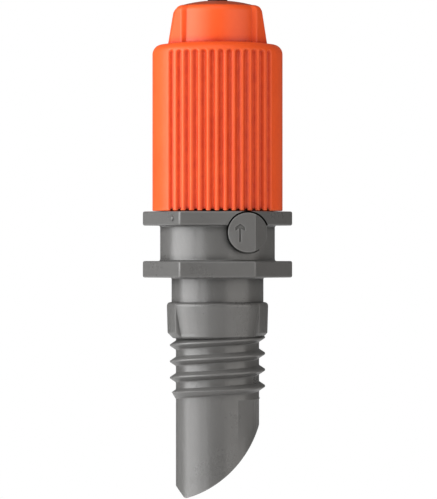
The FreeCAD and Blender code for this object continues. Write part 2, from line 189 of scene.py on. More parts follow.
OVER = 1.0                          # how far a cutting block runs past what it cuts
SUNK = 0.10                         # how far a piece's root is buried in the next one
SKIN = 0.001                        # keeps faces of two blocks from lying in one plane
SIDES = 160                         # of a turned piece
FINE_SIDES = 864                    # of the ribbed sleeve
ARC_STEP = radians(15)              # between the points of a rounded corner
MERGE = 0.0001

# ---- modelling ----------------------------------------------------------------------------------------


def rounded(corners, step=ARC_STEP):
    """The corners as points, with an arc at each corner that has a radius as its third number."""
    points = []
    for i, corner in enumerate(corners):
        here = Vector(corner[:2])
        if len(corner) < 3:
            points.append(here)
            continue
        back = (Vector(corners[i - 1][:2]) - here).normalized()
        ahead = (Vector(corners[(i + 1) % len(corners)][:2]) - here).normalized()
        turn = pi - back.angle(ahead)
        side = 1 if back.x * ahead.y - back.y * ahead.x < 0 else -1
        centre = here + (back + ahead).normalized() * corner[2] / cos(turn / 2)
        arm = here + back * corner[2] * tan(turn / 2) - centre
        steps = max(2, round(turn / step))
        for k in range(steps + 1):
            points.append(centre + Matrix.Rotation(side * turn * k / steps, 2) @ arm)
    return points


def outline(name, points):
    """A new piece in edit mode: one vertex drawn through the points, and back to the first."""
    bpy.ops.object.select_all(action="DESELECT")
    bpy.ops.mesh.primitive_plane_add(size=1, location=points[0])
    piece = bpy.context.object
    piece.name = piece.data.name = name
    bpy.ops.object.transform_apply()
    bpy.ops.object.mode_set(mode="EDIT")
    bpy.ops.mesh.merge(type="CENTER")
    for here, there in zip(points, points[1:] + points[:1]):
        bpy.ops.mesh.extrude_region_move(TRANSFORM_OT_translate={"value": there - here})
    bpy.ops.mesh.select_all(action="SELECT")
    bpy.ops.mesh.remove_doubles(threshold=MERGE)
    return piece


def closed(piece):
    """Merges what meets, turns every face outwards and leaves edit mode."""
    bpy.ops.mesh.select_all(action="SELECT")
    bpy.ops.mesh.remove_doubles(threshold=MERGE)
    bpy.ops.mesh.normals_make_consistent(inside=False)
    bpy.ops.object.mode_set(mode="OBJECT")
    return piece


def turned(name, corners, sides=SIDES, step=ARC_STEP):
    """A ring or a solid of revolution about Z from its (radius, height) corners."""
    piece = outline(name, [Vector((r, 0, z)) for r, z in rounded(corners, step)])
    bpy.ops.mesh.spin(steps=sides, angle=FULL, center=(0, 0, 0), axis=(0, 0, 1))
    return closed(piece)


def slab(name, corners, thickness, middle_y=0.0):
    """A plate with this (x, z) outline, and its middle plane at this y."""
    piece = outline(name, [Vector((x, middle_y - thickness / 2, z)) for x, z in rounded(corners)])
    bpy.ops.mesh.edge_face_add()
    bpy.ops.mesh.extrude_region_move(TRANSFORM_OT_translate={"value": (0, thickness, 0)})
    return closed(piece)


def apply_all(piece):
    bpy.context.view_layer.objects.active = piece
    for modifier in list(piece.modifiers):
        bpy.ops.object.modifier_apply(modifier=modifier.name)
    return piece


def softened(piece, width, segments=3, angle=radians(35)):
    """Rounds every edge that is sharper than the angle."""
    bevel = piece.modifiers.new("softened", "BEVEL")
    bevel.width = width
    bevel.segments = segments
    bevel.limit_method = "ANGLE"
    bevel.angle_limit = angle
    bevel.miter_outer = "MITER_ARC"
    return apply_all(piece)


def combined(piece, other, how):
    """The piece after a boolean with the other one, which is used up."""
    boolean = piece.modifiers.new(how, "BOOLEAN")
    boolean.operation = how
    boolean.solver = "EXACT"
    boolean.object = other
    apply_all(piece)
    bpy.data.objects.remove(other)
    return piece


def upright_hexagon(name, flat_r, low, high):
    """A hexagonal block with a flat towards -Y and corners at +X and -X."""
    bpy.ops.object.select_all(action="DESELECT")
    bpy.ops.mesh.primitive_cylinder_add(vertices=6, radius=flat_r / cos(pi / 6), depth=high - low,
                                        location=(0, 0, (low + high) / 2), rotation=(0, 0, QUARTER))
    block = bpy.context.object
    block.name = block.data.name = name
    bpy.ops.object.transform_apply()
    return block


def rod(name, radius, start, end, sides=64):
    """A round bar from one point to another."""
    start, end = Vector(start), Vector(end)
    bpy.ops.object.select_all(action="DESELECT")
    bpy.ops.mesh.primitive_cylinder_add(vertices=sides, radius=radius, depth=(end - start).length,
                                        location=(start + end) / 2)
    bar = bpy.context.object
    bar.name = bar.data.name = name
    bar.rotation_euler = (end - start).to_track_quat("Z", "Y").to_euler()
    bpy.ops.object.transform_apply()
    return bar


def wound(name, corners, pitch, low, high):
    """A right-hand helical ridge: its (radius, height) section turned upwards from low to past high."""
    piece = outline(name, [Vector((r, 0, low + z)) for r, z in rounded(corners)])
    bpy.ops.object.mode_set(mode="OBJECT")
    screw = piece.modifiers.new("winding", "SCREW")
    screw.axis = "Z"
    screw.angle = FULL
    screw.screw_offset = pitch
    screw.iterations = int((high - low) / pitch) + 1
    screw.steps = screw.render_steps = 72
    screw.use_merge_vertices = False
    apply_all(piece)
    bpy.ops.object.mode_set(mode="EDIT")
    bpy.ops.mesh.select_all(action="SELECT")
    bpy.ops.mesh.fill_holes(sides=0)
    return closed(piece)


def run_out(ridge, root_r, crest_r, low, high, low_run, high_run):
    """Tapers a ridge to nothing towards its low and its high end, over these two lengths."""
    out = 1 if crest_r > root_r else -1
    buried_r, clear_r = root_r - 2 * out * SUNK, crest_r + out * SUNK
    space = turned("run_out_space", [(buried_r, low), (root_r, low), (clear_r, low + low_run),
                                     (clear_r, high - high_run), (root_r, high), (buried_r, high)])
    return combined(ridge, space, "INTERSECT")


def screw_section(root_r, crest_r):
    """The (radius, height) section of the thread between spindle and cap, with its root buried."""
    buried_r = root_r - SUNK if crest_r > root_r else root_r + SUNK
    return [(buried_r, -0.40), (root_r, -0.35, 0.05), (crest_r, -0.13, 0.06),
            (crest_r, 0.13, 0.06), (root_r, 0.35, 0.05), (buried_r, 0.40)]


# ---- the grey body ------------------------------------------------------------------------------------


def body_core():
    """Spigot, neck, waist and spindle with the water bore through them, as one turned ring."""
    bore_step_z = FEED_BORE_Z - (BORE_R - FEED_BORE_R)
    foot = TIP_Z - OVER
    waist_foot_z = LOWER_FLANGE - 0.01
    waist_top_z = FLANGE_TOP_Z - UPPER_FLANGE + 0.01
    fillet_r = WAIST_R + WAIST_FILLET + 0.02
    return turned("body_moulding", [
        (SPIGOT_R, foot), (SPIGOT_R, COLLAR_FOOT_Z + SUNK), (NECK_R, COLLAR_FOOT_Z + SUNK),
        (NECK_R, 0, 0.10), (FLANGE_INSIDE_R, 0), (FLANGE_INSIDE_R, LOWER_FLANGE - SUNK),
        (fillet_r, waist_foot_z), (WAIST_R, waist_foot_z, WAIST_FILLET),
        (WAIST_R, waist_top_z, WAIST_FILLET), (fillet_r, waist_top_z),
        (FLANGE_INSIDE_R, FLANGE_TOP_Z - SUNK),
        (SPINDLE_ROOT_R, FLANGE_TOP_Z - SUNK), (SPINDLE_ROOT_R, THREAD_TOP_Z),
        (LAND_R, THREAD_TOP_Z + 0.25, 0.10), (LAND_R, SPINDLE_TOP_Z, 0.12),
        (PIN_STEM_R, SPINDLE_TOP_Z, 0.04), (PIN_STEM_R, PIN_FOOT_Z), (FEED_BORE_R, PIN_FOOT_Z - 0.20),
        (FEED_BORE_R, FEED_BORE_Z), (BORE_R, bore_step_z), (BORE_R, foot)])


def tip_cutter():
    """What the slanted tip is cut away by: a block with a hollow round side and a back chamfer."""
    point_x = -SPIGOT_R + TIP_LAND
    arc_z = TIP_Z + sqrt(TIP_CUT_R ** 2 - (point_x - TIP_CUT_X) ** 2)
    last = atan2(TIP_Z - arc_z, point_x - TIP_CUT_X)
    steps = 40
    arc = [(TIP_CUT_X + TIP_CUT_R * cos(last * k / steps), arc_z + TIP_CUT_R * sin(last * k / steps))
           for k in range(steps)] + [(point_x, TIP_Z, TIP_ROUND)]
    back_x = -SPIGOT_R - OVER
    back_z = TIP_Z + (point_x - back_x) / tan(TIP_BACK)
    front_x = TIP_CUT_X + TIP_CUT_R + OVER
    below = TIP_Z - 3 * OVER
    corners = arc + [(back_x, back_z), (back_x, below), (front_x, below), (front_x, arc_z)]
    return slab("tip_cutter", corners, 2 * (SPIGOT_R + OVER))


def collar():
    """The barbed collar: a tapered ring with a squared lug on each side."""
    top = -NECK_LENGTH
    inside = SPIGOT_R - SUNK
    ring = turned("collar", [(inside, COLLAR_FOOT_Z), (COLLAR_FOOT_R, COLLAR_FOOT_Z, LUG_ROUND),
                             (COLLAR_R, top, BRIM_ROUND), (inside, top)])
    lug_inside = inside + 0.05
    lugs = turned("lugs", [(lug_inside, COLLAR_FOOT_Z - SKIN),
                           (LUG_R - LUG_TAPER, COLLAR_FOOT_Z - SKIN, LUG_ROUND),
                           (LUG_R, COLLAR_FOOT_Z + LUG_TAPER, LUG_ROUND),
                           (COLLAR_R - 4 * SKIN, top - SKIN, BRIM_ROUND), (lug_inside, top - SKIN)])
    side_x, low, high = 2 * CAP_R, COLLAR_FOOT_Z - OVER, top + OVER
    between = slab("lug_block", [(-side_x, low), (side_x, low), (side_x, high), (-side_x, high)],
                   2 * LUG_HALF_WIDTH)
    lugs = combined(lugs, between, "INTERSECT")
    return combined(ring, softened(lugs, 0.04, 2), "UNION")


def tap_thread():
    """The coarse self-tapping ridge on the spigot, below the collar."""
    end = COLLAR_FOOT_Z - TAP_LENGTH
    turns_below = int((TAP_CREST_Z - end) / TAP_PITCH + 2)
    section = [(SPIGOT_R - SUNK, -0.40), (SPIGOT_R - 0.01, -0.40), (SPIGOT_R + 0.01, -0.25, 0.06),
               (TAP_CREST_R, -0.04, 0.03), (TAP_CREST_R, 0.04, 0.03), (SPIGOT_R + 0.01, 0.25, 0.06),
               (SPIGOT_R - 0.01, 0.40), (SPIGOT_R - SUNK, 0.40)]
    start = TAP_CREST_Z - turns_below * TAP_PITCH
    ridge = wound("tap_thread", section, TAP_PITCH, start, COLLAR_FOOT_Z + TAP_PITCH)
    end_r = SPIGOT_R - 0.013            # just inside the spigot, so that the ridge dies away in its face
    return run_out(ridge, end_r, TAP_CREST_R, end, COLLAR_FOOT_Z + SUNK, 0.75, 0.01)


def spindle_thread():
    """The round-cornered screw thread that the cap runs on."""
    section = screw_section(SPINDLE_ROOT_R, SPINDLE_CREST_R)
    ridge = wound("spindle_thread", section, LEAD, THREAD_FOOT_Z - 2 * LEAD, THREAD_TOP_Z + LEAD)
    return run_out(ridge, SPINDLE_ROOT_R, SPINDLE_CREST_R, THREAD_FOOT_Z, THREAD_TOP_Z,
                   THREAD_RUN, THREAD_RUN)


def flange(name, low, thickness):
    """A hexagonal flange with softened edges and a hole for the core."""
    plate = softened(upright_hexagon(name, FLAT_R, low, low + thickness), FLANGE_ROUND)
    hole = rod("hole", SPINDLE_ROOT_R - 2 * SUNK, (0, 0, low - OVER), (0, 0, low + thickness + OVER))
    return combined(plate, hole, "DIFFERENCE")


def marking_pad():
    """The round pad towards -Y, whose face follows the hexagon, with its mark."""
    disc = rod("pad", PAD_R, (PAD_X, -WAIST_R + 2 * OVER / 3, PAD_Z), (PAD_X, -FLAT_R - OVER, PAD_Z), 96)
    block = upright_hexagon("pad_block", FLAT_R, -OVER, FLANGE_TOP_Z + OVER)
    disc = softened(combined(disc, block, "INTERSECT"), 0.05, 2)
    return combined(disc, pad_mark(), "DIFFERENCE")


def pad_moat():
    """What is cut away round the pad: a narrow moat in the upper flange and in the waist."""
    moat = rod("moat", PAD_R + PAD_GROOVE_WIDTH, (PAD_X, -WAIST_R + OVER, PAD_Z),
               (PAD_X, -FLAT_R - OVER, PAD_Z), 96)
    flat_floor = upright_hexagon("flat_floor", FLAT_R - PAD_GROOVE_DEPTH,
                                 FLANGE_TOP_Z - UPPER_FLANGE - 0.01, FLANGE_TOP_Z + OVER)
    round_floor = rod("round_floor", WAIST_R - PAD_GROOVE_DEPTH, (0, 0, -OVER), (0, 0, FLANGE_TOP_Z), SIDES)
    return combined(combined(moat, flat_floor, "DIFFERENCE"), round_floor, "DIFFERENCE")


def gate_mark():
    """The small round nub that the moulding gate leaves on the upper flange's left front side."""
    out = Vector((-cos(pi / 6), -sin(pi / 6), 0))
    y = (FLAT_R - out.x * GATE_X) / out.y
    foot = Vector((GATE_X, y, FLANGE_TOP_Z - UPPER_FLANGE / 2))
    nub = rod("gate_mark", GATE_R, foot - 0.15 * out, foot + GATE_RISE * out, 32)
    return softened(nub, GATE_RISE, 5)


def pad_mark():
    """A plain flow arrow that points at the cap, to cut a little way into the pad's face."""
    half = ARROW_STROKE / 2
    neck_z = ARROW_TOP_Z - ARROW_BARB
    barb_z = ARROW_TOP_Z - 1.6 * ARROW_BARB
    corners = [(-half, ARROW_FOOT_Z), (half, ARROW_FOOT_Z), (half, neck_z), (ARROW_HALF_WIDTH, barb_z),
               (ARROW_HALF_WIDTH, neck_z + half), (0, ARROW_TOP_Z + half),
               (-ARROW_HALF_WIDTH, neck_z + half), (-ARROW_HALF_WIDTH, barb_z), (-half, neck_z)]
    return slab("pad_mark", [(ARROW_X + x, z) for x, z in corners], 2 * OVER, -FLAT_R + ARROW_DEPTH - OVER)


def body_moulding():
    body = combined(body_core(), tip_cutter(), "DIFFERENCE")
    body = combined(body, collar(), "UNION")
    body = combined(body, tap_thread(), "UNION")
    body = combined(body, spindle_thread(), "UNION")
    body = combined(body, flange("lower_flange", 0, LOWER_FLANGE), "UNION")
    body = combined(body, flange("upper_flange", FLANGE_TOP_Z - UPPER_FLANGE, UPPER_FLANGE), "UNION")
    body = combined(body, pad_moat(), "DIFFERENCE")
    body = combined(body, marking_pad(), "UNION")
    return combined(body, gate_mark(), "UNION")


# ---- the orange cap -----------------------------------------------------------------------------------


def ribbed_sleeve():
    """The cap's sleeve with its two panels of gripping grooves, before it is hollowed out."""
    inside = ORIFICE_R - 0.25
    outside = CAP_R - SKIN
    crown_z = SHOULDER_Z + SHOULDER_RISE
    row_step, row_count = 0.03, 5       # close rows of faces, to round the grooves' upper ends
    rows = [RIB_TOP_Z - 0.25 + row_step * k for k in range(row_count)]
    corners = [(inside, RIM_Z), (outside, RIM_Z, 0.05)] + [(outside, z) for z in rows]
    corners += [(outside, SHOULDER_Z, SHOULDER_ROUND), (HEAD_R - SUNK, crown_z), (inside, crown_z)]
    sleeve = turned("cap_moulding", corners, FINE_SIDES, radians(3))
    grooves = sleeve.vertex_groups.new(name="grooves")
    for vertex in sleeve.data.vertices:
        depth = groove_depth(vertex.co)
        if depth > 0:
            grooves.add([vertex.index], depth / RIB_DEPTH, "REPLACE")
    press = sleeve.modifiers.new("grooves", "DISPLACE")
    press.direction = "NORMAL"
    press.vertex_group = "grooves"
    press.mid_level = 0
    press.strength = -RIB_DEPTH
    apply_all(sleeve)
    sleeve.vertex_groups.clear()
    return sleeve


def groove_depth(place):
    """How deep the gripping grooves cut at a place on the sleeve."""
    radius = place.to_2d().length
    if radius < CAP_R - 0.3:
        return 0
    beyond = max(0, place.z - RIB_TOP_Z)
    deepest = 0
    middle = (RIB_COUNT - 1) // 2
    for k in range(-middle, middle + 1):
        across = asin(RIB_FAN_R * sin(RIB_STEP * k) / CAP_R)
        around = abs(atan2(place.x, abs(place.y)) - across) * CAP_R
        reach = sqrt(around ** 2 + beyond ** 2)
        if reach < RIB_HALF_WIDTH:
            deepest = max(deepest, RIB_DEPTH * cos(QUARTER * reach / RIB_HALF_WIDTH) ** 2)
    return max(0, deepest - (CAP_R - radius))


def marked(piece, places):
    """Selects the vertices that a test on their place picks out, and goes into edit mode."""
    bpy.ops.object.mode_set(mode="OBJECT")
    for part in (*piece.data.edges, *piece.data.polygons):
        part.select = False
    for vertex in piece.data.vertices:
        vertex.select = places(vertex.co)
    bpy.ops.object.mode_set(mode="EDIT")


def head_wings(top):
    """The head's two wings as one bar along X: sloped ends, upright corners, slanted facets, round top."""
    def end(z):
        end_x = HEAD_R + WING_OUT - (z - SHOULDER_Z) * WING_SLOPE
        return end_x, WING_HALF_WIDTH - (end_x - WING_CORNER_X) * WING_FACET

    (foot_x, foot_y), (top_x, top_y) = end(HEAD_FOOT_Z), end(top)
    quarter = [(foot_x, foot_y), (WING_CORNER_X, WING_HALF_WIDTH)]
    half = quarter + [(-x, y) for x, y in reversed(quarter)]
    bar = outline("wings", [Vector((x, y, HEAD_FOOT_Z)) for x, y in half + [(-x, -y) for x, y in half]])
    bpy.ops.mesh.edge_face_add()
    bpy.ops.mesh.extrude_region_move(TRANSFORM_OT_translate={"value": (0, 0, top - HEAD_FOOT_Z)})
    marked(bar, lambda place: place.z > top - 0.01 and abs(place.x) > WING_CORNER_X + 0.01)
    bpy.ops.transform.resize(value=(top_x / foot_x, top_y / foot_y, 1), center_override=(0, 0, 0))
    closed(bar)
    weights = bar.data.attributes.new("bevel_weight_edge", "FLOAT", "EDGE")
    for edge in bar.data.edges:
        low, high = sorted(bar.data.vertices[i].co.z for i in edge.vertices)
        if low > top - 0.01:
            weights.data[edge.index].value = 1.0
        elif high > top - 0.01:
            weights.data[edge.index].value = 0.2
    bevel = bar.modifiers.new("softened", "BEVEL")
    bevel.limit_method = "WEIGHT"
    bevel.width = HEAD_ROUND
    bevel.segments = 6
    return apply_all(bar)


def cap_head():
    """The cap's head: a round core with a rounded edge and a dome, and the two wings."""
    def dome_z(radius):
        return DOME_TOP_Z - DOME_R + sqrt(DOME_R ** 2 - radius ** 2)

    tangent = (DOME_EDGE_R - HEAD_ROUND) * DOME_R / (DOME_R - HEAD_ROUND)
    edge_r = HEAD_R - HEAD_HEIGHT * HEAD_SLOPE
    rows = 14
    dome = [(tangent * k / rows, dome_z(tangent * k / rows)) for k in range(rows - 1, 3, -1)]
    core = turned("cap_head", [(dome[-1][0], HEAD_FOOT_Z), (HEAD_R, HEAD_FOOT_Z), (HEAD_R, SHOULDER_Z),
                               (edge_r, dome_z(edge_r), HEAD_ROUND)] + dome, SIDES, radians(10))
    return combined(core, head_wings(dome_z(tangent)), "UNION")


def cap_inside():
    """The space inside the cap: mouth, thread bore, lip, seal groove, chamber, seat and orifice."""
    mouth_r = CAP_THREAD_R + MOUTH_FLARE
    ring_wall_r = RING_MIDDLE_R + SEAL_ROOM
    ring_low_z, ring_high_z = RING_Z - SEAL_ROOM, RING_Z + SEAL_ROOM
    lip_r = LAND_R + 0.10
    lip = 0.30
    seat_foot_z = SEAT_TOP_Z - (SEAT_R - ORIFICE_R) / SEAT_SLOPE
    return turned("cap_inside", [
        (0, RIM_Z - OVER), (mouth_r, RIM_Z - OVER), (mouth_r, MOUTH_Z - MOUTH_FLARE), (CAP_THREAD_R, MOUTH_Z),
        (CAP_THREAD_R, THREAD_TOP_Z - THREAD_END), (lip_r, ring_low_z - lip, 0.05),
        (lip_r, ring_low_z, 0.05), (ring_wall_r, ring_low_z, 0.05),
        (ring_wall_r, ring_high_z, 0.05), (lip_r, ring_high_z, 0.05),
        (lip_r, ring_high_z + lip, 0.05), (CHAMBER_R, ring_high_z + 2 * lip),
        (CHAMBER_R, CHAMBER_ROOF_Z, 0.15), (RELIEF_R, CHAMBER_ROOF_Z), (RELIEF_R, seat_foot_z, 0.10),
        (SEAT_R, seat_foot_z), (ORIFICE_R, SEAT_TOP_Z), (ORIFICE_R, DOME_TOP_Z - ORIFICE_FLARE, 0.08),
        (ORIFICE_R + ORIFICE_FLARE + OVER, DOME_TOP_Z + OVER), (0, DOME_TOP_Z + OVER)])


def cap_thread():
    """The cap's internal thread, half a turn round from the spindle's."""
    crest_r = SPINDLE_ROOT_R + THREAD_GAP
    high = THREAD_TOP_Z - THREAD_END
    section = screw_section(CAP_THREAD_R, crest_r)
    ridge = wound("cap_thread", section, LEAD, THREAD_FOOT_Z - 2.5 * LEAD, high + LEAD)
    return run_out(ridge, CAP_THREAD_R, crest_r, MOUTH_Z, high, THREAD_RUN, THREAD_RUN)


def cap_moulding():
    outside = combined(ribbed_sleeve(), cap_head(), "UNION")
    bpy.ops.object.select_all(action="DESELECT")
    outside.select_set(True)
    outside.rotation_euler.z = CAP_TURN
    bpy.ops.object.transform_apply()
    cap = combined(outside, cap_inside(), "DIFFERENCE")
    return combined(cap, cap_thread(), "UNION")


# ---- the small inner pieces ---------------------------------------------------------------------------


def spray_pin():
    """The pin: fluted stem, shoulder, sealing cone, thin waist and spray head."""
    def cone_z(radius):
        return SEAT_TOP_Z - (radius + PIN_GAP / cos(radians(30)) - ORIFICE_R) / SEAT_SLOPE

    head_z = PIN_TIP_Z - PIN_HEAD_HEIGHT
    cone_foot_z = cone_z(PIN_CONE_R)
    pin = turned("pin_moulding", [
        (0, PIN_FOOT_Z), (PIN_STEM_R, PIN_FOOT_Z, 0.08), (PIN_STEM_R, SPINDLE_TOP_Z),
        (PIN_CONE_R, SPINDLE_TOP_Z, 0.04), (PIN_CONE_R, PIN_SHOULDER_Z, 0.05),
        (PIN_MIDDLE_R, PIN_SHOULDER_Z, 0.06), (PIN_MIDDLE_R, cone_foot_z - 0.30, 0.06),
        (PIN_CONE_R, cone_foot_z - 0.15, 0.03), (PIN_CONE_R, cone_foot_z, 0.04),
        (PIN_WAIST_R, cone_z(PIN_WAIST_R), 0.10), (PIN_WAIST_R, head_z - 0.25, 0.10),
        (PIN_HEAD_R, head_z, 0.05), (PIN_HEAD_R, PIN_TIP_Z, 0.10), (0, PIN_TIP_Z)], 96)
    for i in range(4):
        across = Vector((cos(QUARTER * i), sin(QUARTER * i), 0)) * PIN_STEM_R
        flute = rod("flute", FLUTE_R, across + Vector((0, 0, PIN_FOOT_Z - OVER)),
                    across + Vector((0, 0, PIN_SHOULDER_Z)), 32)
        pin = combined(pin, flute, "DIFFERENCE")
    return pin


def seal_ring():
    """The moulded rubber ring, with a fine flash line round its inside and outside."""
    half = 0.02
    start = asin(half / RING_SECTION_R)
    steps = 24
    section = []
    for side, away in ((0, -1), (pi, 1)):
        arc = [side + start + (pi - 2 * start) * k / steps for k in range(steps + 1)]
        section += [(RING_MIDDLE_R + RING_SECTION_R * cos(a), RING_Z + RING_SECTION_R * sin(a)) for a in arc]
        edge = RING_MIDDLE_R + away * (RING_SECTION_R + RING_FLASH)
        section += [(edge, RING_Z - away * half / 2), (edge, RING_Z + away * half / 2)]
    return turned("seal_ring", section, 128)


# ---- finishes -----------------------------------------------------------------------------------------


def group(name, inputs, outputs):
    """An empty node group with these named sockets, and its input and output nodes."""
    tree = bpy.data.node_groups.new(name, "ShaderNodeTree")
    for label, kind, value in inputs:
        socket = tree.interface.new_socket(label, in_out="INPUT", socket_type=kind)
        if value is not None:
            socket.default_value = value
    for label, kind in outputs:
        tree.interface.new_socket(label, in_out="OUTPUT", socket_type=kind)
    return tree, tree.nodes.new("NodeGroupInput"), tree.nodes.new("NodeGroupOutput")


def noise(tree, vector, scale, detail=2.0, rough=0.5):
    node = tree.nodes.new("ShaderNodeTexNoise")
    node.inputs["Scale"].default_value = scale
    node.inputs["Detail"].default_value = detail
    node.inputs["Roughness"].default_value = rough
    tree.links.new(vector, node.inputs["Vector"])
    return node.outputs["Fac"]


def feed(tree, value, socket):
    """Gives an input socket a fixed value, or links it to another node's output."""
    if isinstance(value, bpy.types.NodeSocket):
        tree.links.new(value, socket)
    else:
        socket.default_value = value


def maths(tree, operation, first, second=0.0, third=0.0, clamp=False):
    node = tree.nodes.new("ShaderNodeMath")
    node.operation = operation
    node.use_clamp = clamp
    for socket, value in zip(node.inputs, (first, second, third)):
        feed(tree, value, socket)
    return node.outputs[0]


def blend(tree, mask, under, over):
    """The colour under where the mask is 0, and the colour over where it is 1."""
    node = tree.nodes.new("ShaderNodeMix")
    node.data_type = "RGBA"
    for value, socket in ((mask, node.inputs["Factor"]), (under, node.inputs[6]), (over, node.inputs[7])):
        feed(tree, value, socket)
    return node.outputs[2]


def grain_group():
    """The fine, slightly pebbled surface that a mould leaves, with faint flow ripples."""
    tree, source, result = group(
        "mould_grain",
        [("Vector", "NodeSocketVector", None), ("Grain", "NodeSocketFloat", 0.5),
         ("Ripple", "NodeSocketFloat", 0.3)],
        [("Height", "NodeSocketFloat")])
    fine = noise(tree, source.outputs["Vector"], 9.0, 3.0, 0.6)
    broad = noise(tree, source.outputs["Vector"], 1.3, 1.0, 0.4)
    height = maths(tree, "MULTIPLY", fine, source.outputs["Grain"])
    height = maths(tree, "MULTIPLY_ADD", broad, source.outputs["Ripple"], height)
    tree.links.new(height, result.inputs["Height"])
    return tree


def drift_group():
    """Slow change of tone over a moulding, with small lighter and darker specks."""
    tree, source, result = group(
        "tone_drift",
        [("Vector", "NodeSocketVector", None), ("Dark", "NodeSocketColor", (0, 0, 0, 1)),
         ("Light", "NodeSocketColor", (1, 1, 1, 1)), ("Specks", "NodeSocketFloat", 0.3)],
        [("Color", "NodeSocketColor"), ("Shade", "NodeSocketFloat")])
    slow = noise(tree, source.outputs["Vector"], 0.35, 2.0)
    specks = noise(tree, source.outputs["Vector"], 4.5, 4.0, 0.7)
    specks = maths(tree, "SUBTRACT", specks, 0.5)
    shade = maths(tree, "MULTIPLY_ADD", specks, source.outputs["Specks"], slow, clamp=True)
    colour = blend(tree, shade, source.outputs["Dark"], source.outputs["Light"])
    tree.links.new(colour, result.inputs["Color"])
    tree.links.new(shade, result.inputs["Shade"])
    return tree


def painted_light_group():
    """Masks of a painted highlight along the outer edges and of painted shade in the inner corners, broken up
    by noise.

    Edge and Corner are how far the masks reach, in millimetres."""
    tree, source, result = group(
        "painted_edge_and_corner_light",
        [("Vector", "NodeSocketVector", None), ("Edge", "NodeSocketFloat", 0.10),
         ("Corner", "NodeSocketFloat", 0.42)],
        [("EdgeHighlight", "NodeSocketFloat"), ("CornerShade", "NodeSocketFloat")])
    broken = noise(tree, source.outputs["Vector"], 2.2, 3.0)
    broken = maths(tree, "MULTIPLY_ADD", broken, 1.2, 0.2)
    # Outer edges, found from inside the piece, get the painted highlight; inner corners, found from outside,
    # get the painted shade.
    for label, inside, output, gain in (("Edge", True, "EdgeHighlight", 1.2), ("Corner", False, "CornerShade", 2.2)):
        depth = maths(tree, "MULTIPLY", source.outputs[label], MM)
        near = tree.nodes.new("ShaderNodeAmbientOcclusion")
        near.inside = inside
        near.only_local = True
        near.samples = 8
        tree.links.new(depth, near.inputs["Distance"])
        covered = maths(tree, "MULTIPLY_ADD", near.outputs["AO"], -gain, gain)
        mask = maths(tree, "MULTIPLY", covered, broken, clamp=True)
        tree.links.new(mask, result.inputs[output])
    return tree


GRAIN, DRIFT, PAINTED_LIGHT = grain_group(), drift_group(), painted_light_group()
EDGE_SHINE = 0.05                   # width over which an edge catches the light, in millimetres
SHADE_EDGE_WAVE = 0.12                   # how far the edge of the painted shade on the dome wanders, in millimetres
SHADE_EDGE_FADE = 12.0                   # how sharply the painted shade ends, per millimetre


def place_group(tree, kind, vector, **values):
    node = tree.nodes.new("ShaderNodeGroup")
    node.node_tree = kind
    tree.links.new(vector, node.inputs["Vector"])
    for label, value in values.items():
        node.inputs[label].default_value = value
    return node


def moulded(name, dark, light, highlight_tone, shade_tone, roughness, spread, shine, grain, ripple, bump):
    """A moulded finish: its tones, with a painted highlight on outer edges and painted shade in inner
    corners, its gloss and its texture.

    The roughness varies by spread over the piece, and bump is the texture's height in millimetres."""
    material = bpy.data.materials.new(name)
    material.use_nodes = True
    tree = material.node_tree
    shader = tree.nodes["Principled BSDF"]
    shader.inputs["Specular IOR Level"].default_value = shine
    coordinates = tree.nodes.new("ShaderNodeTexCoord")
    mapping = tree.nodes.new("ShaderNodeMapping")
    mapping.inputs["Scale"].default_value = (1 / MM, 1 / MM, 1 / MM)
    tree.links.new(coordinates.outputs["Object"], mapping.inputs["Vector"])
    vector = mapping.outputs["Vector"]
    tone = place_group(tree, DRIFT, vector, Dark=dark, Light=light, Specks=0.35)
    painted_light = place_group(tree, PAINTED_LIGHT, vector)
    texture = place_group(tree, GRAIN, vector, Grain=grain, Ripple=ripple)
    colour = tone.outputs["Color"]
    # A lighter tone painted along outer edges as highlight, then a darker tone painted into corners and
    # grooves as shade.
    colour = blend(tree, painted_light.outputs["EdgeHighlight"], colour, highlight_tone)
    # Painted shade: corners, grooves and the lines under the flanges darkened to the shade tone.
    colour = blend(tree, painted_light.outputs["CornerShade"], colour, shade_tone)
    tree.links.new(colour, shader.inputs["Base Color"])
    gloss = maths(tree, "MULTIPLY_ADD", tone.outputs["Shade"], spread, roughness - spread / 2)
    tree.links.new(gloss, shader.inputs["Roughness"])
    relief = tree.nodes.new("ShaderNodeBump")
    relief.inputs["Strength"].default_value = 1.0
    relief.inputs["Distance"].default_value = bump * MM
    edge = tree.nodes.new("ShaderNodeBevel")
    edge.samples = 6
    edge.inputs["Radius"].default_value = EDGE_SHINE * MM
    tree.links.new(edge.outputs["Normal"], relief.inputs["Normal"])
    tree.links.new(texture.outputs["Height"], relief.inputs["Height"])
    tree.links.new(relief.outputs["Normal"], shader.inputs["Normal"])
    return material


def painted_shade_above(material, height, tone, strength):
    """Paints shade on a finish above this height in millimetres, darkening the top of the cap's head, with a
    broken edge.
    """
    tree = material.node_tree
    base = tree.nodes["Principled BSDF"].inputs["Base Color"]
    vector = tree.nodes["Mapping"].outputs["Vector"]
    place = tree.nodes.new("ShaderNodeSeparateXYZ")
    tree.links.new(vector, place.inputs["Vector"])
    wave = noise(tree, vector, 3.0, 3.0)
    edge = maths(tree, "MULTIPLY_ADD", wave, SHADE_EDGE_WAVE, height - SHADE_EDGE_WAVE / 2)
    above = maths(tree, "SUBTRACT", place.outputs["Z"], edge)
    mask = maths(tree, "MULTIPLY", above, SHADE_EDGE_FADE, clamp=True)
    mask = maths(tree, "MULTIPLY", mask, strength)
    tree.links.new(blend(tree, mask, base.links[0].from_socket, tone), base)


